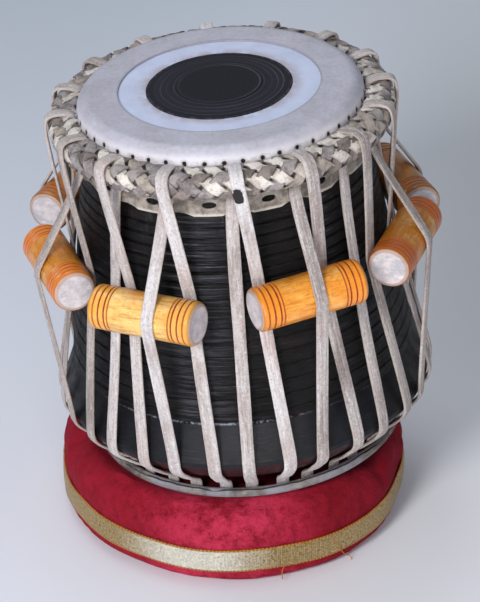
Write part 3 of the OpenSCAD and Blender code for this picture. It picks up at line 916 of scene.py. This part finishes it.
def add_lacing():
    loops = [rawhide(f"rawhide_loop_{k + 1}", 3.7 * k, *tones) for k, tones in enumerate(FREE_TONES)]
    held = [rawhide(f"rawhide_held_{k + 1}", 20 + 2.9 * k, tone, tone) for k, tone in enumerate(HELD_TONES)]
    for i in range(1, LOOPS // 2 + 1):
        name, node, hide = f"strap_free_loop_{i}", f"free_loop_{i}", loops[(i - 1) % len(loops)]
        block = i % (LOOPS // 2) + 1
        a, left, right = angles_of(2 * i - 2)
        line = line_of(free_run(a, left)[:0:-1] + over_hoop(a) + pinned_run(a, right, block))
        top = nearest(line, polar(a - 0.4, behind_r(HOOP_Z), HOOP_Z))
        inner, outer = line[: top + 1], line[top:]
        shape = {"seed": i, "cup": 0.12, "twist": 2.0, "closed": (True, False)}
        add_strap(f"{name}_inner", node, inner, hide, "drum", **shape)
        add_pinned(name, node, outer, a, right, block, hide, seed=i, run=length_of(inner), closed=False)
        if i == 1:
            add_slit(outer)

        hide = held[(i - 1) % len(held)]
        a, left, right = angles_of(block_loop_k(i))
        line = line_of(over_hoop(a) + pinned_run(a, right, i))
        add_pinned(f"strap_block_loop_{i}", f"block_loop_{i}", line, a, right, i, hide, seed=20 + i)
        add_held(i, a, left, hide)


add_lacing()

# ---- plaited hoop


BRIDGE = 6.8
LEAN_IN = math.radians(115)


def hoop_outline(s, d):
    """Point s of a strip's way from its hole, round the hoop and in under it, moved out by d."""
    rad, straight = HOOP_HALF_W, HOOP_HALF_H - HOOP_HALF_W
    middle = rad + 0.7
    if s < BRIDGE:
        t = s / BRIDGE
        hole_r, hole_z = wall_r(-8.8) + 3.1, -8.8
        top_r = HOOP_R + (rad + d) * math.cos(LEAN_IN)
        top_z = HOOP_Z + straight + (rad + d) * math.sin(LEAN_IN)
        return mix(hole_r, top_r, t), mix(hole_z, top_z, t) + 0.9 * math.sin(math.pi * t)
    s -= BRIDGE
    if s < LEAN_IN * middle:
        a, z = LEAN_IN - s / middle, HOOP_Z + straight
    elif s < LEAN_IN * middle + 2 * straight:
        a, z = 0.0, HOOP_Z + straight - (s - LEAN_IN * middle)
    else:
        a, z = LEAN_IN - (s - 2 * straight) / middle, HOOP_Z - straight
    return HOOP_R + (rad + d) * math.cos(a), z + (rad + d) * math.sin(a)


def plait_line(a, way, length=30):
    """One strip of the plait from its hole, slanting round the hoop and passing over and under the others."""
    line = []
    for s in range(length + 1):
        row = s / PLAIT_ROW
        over = -math.cos(math.pi * row) * way
        r, z = hoop_outline(s, 0.95 + 0.58 * over)
        line.append(polar(a + way * row * 180 / PLAIT_ENDS, r, z))
    return line


def add_plait():
    kinds = {
        "cream": strip_hide("plait_cream", (0.82, 0.77, 0.71), (0.54, 0.47, 0.42), 0.0, 0.42),
        "tan": strip_hide("plait_tan", (0.48, 0.42, 0.37), (0.28, 0.235, 0.20), 3.0, 0.6),
        "grey": strip_hide("plait_grey", (0.37, 0.335, 0.33), (0.19, 0.165, 0.165), 5.0, 0.75),
        "brown": strip_hide("plait_brown", (0.28, 0.235, 0.215), (0.125, 0.105, 0.097), 9.0, 0.75),
    }
    pick = random.Random(7)
    groups = {name: ([], [], []) for name in kinds}
    over, under = ("cream", "cream", "tan", "cream", "grey"), ("grey", "grey", "brown", "grey", "tan")
    for way, names in ((1, over), (-1, under)):
        for k in range(PLAIT_ENDS):
            hole = FIRST_LOOP + 360 / PLAIT_ENDS * (k + 0.5)
            line = plait_line(hole + pick.uniform(-0.35, 0.35), way)
            width = 6.9 + pick.uniform(-0.5, 0.4)
            shape = {"sides": 10, "cup": -0.10, "twist": 12.0, "ragged": 0.45, "narrow": 7.0}
            points, faces, uvs = band_mesh(line, width, 1.15, pick.random() * 50, **shape)
            store = groups[names[(k + pick.randrange(2)) % len(names)]]
            shift = len(store[0])
            store[0].extend(points)
            store[1].extend(tuple(v + shift for v in f) for f in faces)
            store[2].extend(uvs)
    for name, material in kinds.items():
        points, faces, uvs = groups[name]
        piece = new_piece(f"hoop_strips_{name}", points, faces, material, "drum", uvs=uvs)
        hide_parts("hoop_plait")


add_plait()
paint(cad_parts["hoop_core"], dark_hide("hoop_rope", (0.13, 0.11, 0.10), (0.05, 0.043, 0.04)))

# ---- skins, spot, shell, blocks, bottom ring

paint(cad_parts["main_skin"], playing_skin())
paint(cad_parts["lining_skin"], dark_hide("under_skin", (0.48, 0.42, 0.33), (0.36, 0.30, 0.22)))
paint(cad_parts["rim_skin"], rim_skin())
paint(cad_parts["tuning_spot"], paste())
paint(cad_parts["shell"], shell_lacquer())
paint(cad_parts["bottom_ring"], ring_hide())


def add_blocks():
    # the blocks' own tones, except block 4, whose darkest dull-brown hue is painted shade
    hues = (0.08, 0.46, 0.90, 1.0, 0.60, 0.25, 0.90, 0.70)
    bright, red, brown = (0.80, 0.34, 0.030), (0.76, 0.20, 0.007), (0.40, 0.14, 0.025)
    bands = (bright, (0.84, 0.27, 0.012), (0.42, 0.095, 0.007), brown, red, bright, brown, red)
    for i in range(1, LOOPS // 2 + 1):
        a = block_at(i)
        middle = placed(polar(a, block_rc(i), block_z(i)))
        axis = tuple((DRUM.to_3x3() @ sideways(a)).normalized())
        material = block_lacquer(f"block_lacquer_{i}", middle, axis, i * 1.9, hues[i - 1], bands[i - 1])
        paint(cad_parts[f"tuning_block_{i}"], material)


add_blocks()

# ---- cushion


def puff(c, power):
    return math.copysign(abs(c) ** (2 / power), c)


def cushion_outline(t, d):
    """Point of the cushion's section at turn t (degrees), drawn in by d: radius and height."""
    power, low = (8.0, 0.7) if t > 180 else (2.3, 0.0)
    c, s = math.cos(math.radians(t)), math.sin(math.radians(t))
    r = RING_MID_R + (RING_HALF_W - d) * puff(c, power)
    z = CUSHION_H / 2 + (CUSHION_H / 2 + low - d) * puff(s, power)
    return r, max(d, z)


SEAT = [
    (0, BASE_Z - 0.2), (RING_R + 1.5, BASE_Z - 0.2), (RING_R + 5.6, BASE_Z + 2.4),
    (RING_R + 8.6, BASE_Z + 9), (RIM_R + 5, RIM_Z - 3), (RIM_R + 40, RIM_Z + 20),
]
DRUM_BACK = DRUM.inverted()
SWELL_FRAMES = 20


def seat_height(r):
    for (r0, z0), (r1, z1) in zip(SEAT, SEAT[1:]):
        if r <= r1:
            return mix(z0, z1, (r - r0) / (r1 - r0))
    return SEAT[-1][1]


def pressed(point, gap=0.6):
    """Pushes a point (millimetres) of the cushion down out of the drum's underside."""
    local = DRUM_BACK @ point
    top = seat_height(reach_of(local)) - gap
    if local.z > top:
        point = point.copy()
        point.z -= local.z - top
    return point


def wavy(a):
    """How far the cushion's side stands out from true round at an angle (degrees), in millimetres."""
    t = math.radians(a)
    return 0.7 * math.sin(3 * t + 1.0) + 0.45 * math.sin(7 * t + 2.2) + 0.25 * math.sin(13 * t)


def cushion_form(smaller, turns=144, steps=72):
    """The stuffed ring as a closed mesh, its upper half drawn in a little from its final size."""
    points, faces = [], []
    for j in range(turns):
        a = 360 * j / turns
        for k in range(steps):
            turn = 360 * k / steps
            r, z = cushion_outline(turn, smaller if turn < 180 else 0.0)
            points.append(pressed(polar(a, r + wavy(a) * max(0.0, r - RING_MID_R) / RING_HALF_W, z)))
    for j in range(turns):
        for k in range(steps):
            a, b = j * steps, (j + 1) % turns * steps
            faces.append((a + k, a + (k + 1) % steps, b + (k + 1) % steps, b + k))
    return points, faces


def swell(obj, cap):
    """Blows the cover up as cloth sewn down under the ribbon, no point going further than cap (metres)."""
    start = [v.co.copy() for v in obj.data.vertices]
    sewn = []
    for v in obj.data.vertices:
        point = v.co * 1000
        r, local = reach_of(point), DRUM_BACK @ point
        touching = local.z > seat_height(reach_of(local)) - 2.5
        under_ribbon = r > CUSHION_D / 2 - 6 and abs(point.z - SEAM_Z) < RIBBON_W / 2 - 1
        if touching or under_ribbon or point.z < SEAM_Z and r > RING_MID_R:
            sewn.append(v.index)
    obj.vertex_groups.new(name="sewn").add(sewn, 1.0, "REPLACE")
    cloth = obj.modifiers.new("swell", "CLOTH")
    settings = cloth.settings
    settings.vertex_group_mass = "sewn"
    settings.use_pressure = True
    settings.uniform_pressure_force = 4
    settings.shrink_min = -0.05
    settings.mass = 0.3
    settings.quality = 6
    settings.effector_weights.gravity = 0
    cloth.point_cache.frame_end = SWELL_FRAMES
    for step in range(1, SWELL_FRAMES + 1):
        bpy.context.scene.frame_set(step)
    result = obj.evaluated_get(bpy.context.evaluated_depsgraph_get()).data
    moves = [v.co - p for v, p in zip(result.vertices, start)]
    obj.modifiers.remove(cloth)
    bpy.context.scene.frame_set(1)
    for v, p, move in zip(obj.data.vertices, start, moves):
        v.co = p + move * min(1.0, cap / move.length if move.length else 1.0)


def apply_modifier(obj, kind, **settings):
    modifier = obj.modifiers.new(kind, kind)
    for key, value in settings.items():
        setattr(modifier, key, value)
    shaped = obj.evaluated_get(bpy.context.evaluated_depsgraph_get()).to_mesh()
    mesh = bpy.data.meshes.new(obj.name)
    mesh.from_pydata([v.co for v in shaped.vertices], [], [tuple(f.vertices) for f in shaped.polygons])
    obj.modifiers.remove(modifier)
    material = obj.data.materials[0]
    obj.data = mesh
    paint(obj, material)


def settle(obj):
    """Puts the cover back under the ribbon, onto the floor and out of the drum's way."""
    for v in obj.data.vertices:
        point = v.co * 1000
        r, a = reach_of(point), angle_of(point)
        edge = CUSHION_D / 2 + wavy(a) - 0.5
        away = max(0.0, abs(point.z - SEAM_Z) - RIBBON_W / 2)
        if r > edge - 4 and away < 3.0:
            r = mix(edge, r, min(1.0, away / 3.0)) if r > edge or away == 0 else r
            point = polar(a, r, point.z)
        point = pressed(point)
        point.z = max(point.z, 0.0)
        v.co = point * 0.001


def add_cushion():
    points, faces = cushion_form(0.8)
    cover = new_piece("cushion_velvet", points, faces, velvet(), None, local=False)
    apply_modifier(cover, "REMESH", mode="VOXEL", voxel_size=0.004)
    swell(cover, 0.0045)
    settle(cover)
    apply_modifier(cover, "SUBSURF", levels=1)
    cover.data.shade_smooth()
    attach(cover, "cushion")
    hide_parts("cushion_top", "cushion_base", "cushion_stuffing")


add_cushion()


def thread(start, drift, length, seed):
    """A loose thread of the ribbon's edge: a curl of fine points from its start."""
    line, turn = [Vector(start)], drift
    for k in range(length):
        turn += 28 * noise.noise((k * 0.16, seed, 1))
        out = 0.05 * math.sin(k * 0.5 + seed)
        a = angle_of(line[-1])
        step = sideways(a) * math.cos(math.radians(turn)) + Vector((0, 0, math.sin(math.radians(turn))))
        line.append(line[-1] + step + polar(a, out, 0))
    return line


def add_ribbon():
    points, uvs, faces = [], [], []
    turns, rows = 480, 10
    for j in range(turns):
        a = 360 * j / turns - 180
        lift = 0.5 * math.sin(math.radians(5 * a + 40)) + 0.3 * math.sin(math.radians(11 * a))
        for k in range(rows + 1):
            up = RIBBON_W * k / rows
            bulge = 0.35 * (1 - (2 * k / rows - 1) ** 2) + 0.22 * noise.noise((a * 0.12, k * 0.35, 3))
            for side in (0, 1):
                r = CUSHION_D / 2 + wavy(a) + 0.05 + 0.8 * side + bulge
                points.append(polar(a, r, SEAM_Z - RIBBON_W / 2 + up + lift))
                uvs.append((math.pi * CUSHION_D * j / turns, up))
    per = 2 * (rows + 1)
    for j in range(turns):
        a, b = j * per, ((j + 1) % turns) * per
        for k in range(rows):
            faces.append((a + 2 * k + 1, b + 2 * k + 1, b + 2 * k + 3, a + 2 * k + 3))
            faces.append((a + 2 * k, a + 2 * k + 2, b + 2 * k + 2, b + 2 * k))
        faces.append((a, b, b + 1, a + 1))
        faces.append((a + 2 * rows, a + 2 * rows + 1, b + 2 * rows + 1, b + 2 * rows))
    for a, rise, drift, length in ((22, 0.42, -6, 40), (33, 0.2, -32, 26), (16, -0.42, -115, 9)):
        start = polar(a, CUSHION_D / 2 + wavy(a) + 1.1, SEAM_Z + rise * RIBBON_W)
        fibre, ends, _ = band_mesh(thread(start, drift, length, a), 0.50, 0.40, a, sides=6)
        shift = len(points)
        points.extend(fibre)
        faces.extend(tuple(v + shift for v in f) for f in ends)
        uvs.extend((0.5, 0.4) for _ in fibre)
    piece = new_piece("ribbon", points, faces, gold_braid(), "cushion", local=False, uvs=uvs)
    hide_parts("cushion_ribbon")


add_ribbon()

# ---- stage and light


def add_stage():
    n = Nodes("stage")
    x, y, _ = n.split(n.place())
    # painted light and shade on the floor: paler toward the front right, darker toward the back, with a
    # painted shadow in the back right corner
    tone = n.noise(n.place(), 3.0, 2)
    side = n.ramp(x + tone * 0.05, -0.25, 0.3)
    near = n.mix(side, (0.73, 0.75, 0.85), (0.93, 0.94, 1.0))
    corner_shadow = n.ramp(x, 0.02, 0.2) * n.ramp(y + tone * 0.05, -0.06, 0.22)
    far = n.mix(side, (0.53, 0.59, 0.66), (0.66, 0.73, 0.82))
    n.color = n.mix(n.ramp(y, -0.25, 1.1), near, far)
    n.layer(corner_shadow * n.ramp(y, 1.1, 0.3, 0.55), (0.48, 0.475, 0.46))
    bpy.ops.mesh.primitive_plane_add(size=12, location=(0, 0, 0))
    floor = paint(bpy.context.object, n.done(Roughness=0.9))
    floor.name = "floor"


def area_light(name, place, aim, size, power, color):
    data = bpy.data.lights.new(name, "AREA")
    data.shape = "DISK"
    data.size = size
    data.energy = power
    data.color = color
    light = linked(name, data)
    light.location = place
    light.rotation_euler = (Vector(aim) - Vector(place)).to_track_quat("-Z", "Y").to_euler()


def add_light():
    area_light("key", (-0.75, -1.55, 1.15), (0, 0, 0.13), 0.55, 27, (1.0, 0.985, 0.97))
    area_light("low", (0.15, -1.55, 0.34), (0, 0, 0.04), 0.5, 7.5, (1.0, 0.96, 0.91))
    area_light("top", (-0.5, 0.6, 1.7), (0, 0, 0.2), 1.2, 8, (0.93, 0.96, 1.0))
    world = bpy.data.worlds.new("world")
    bpy.context.scene.world = world
    world.use_nodes = True
    back = world.node_tree.nodes["Background"]
    back.inputs["Color"].default_value = (0.84, 0.90, 1.0, 1)
    back.inputs["Strength"].default_value = 0.31
    bpy.context.scene.view_settings.view_transform = "Standard"


add_stage()
add_light()
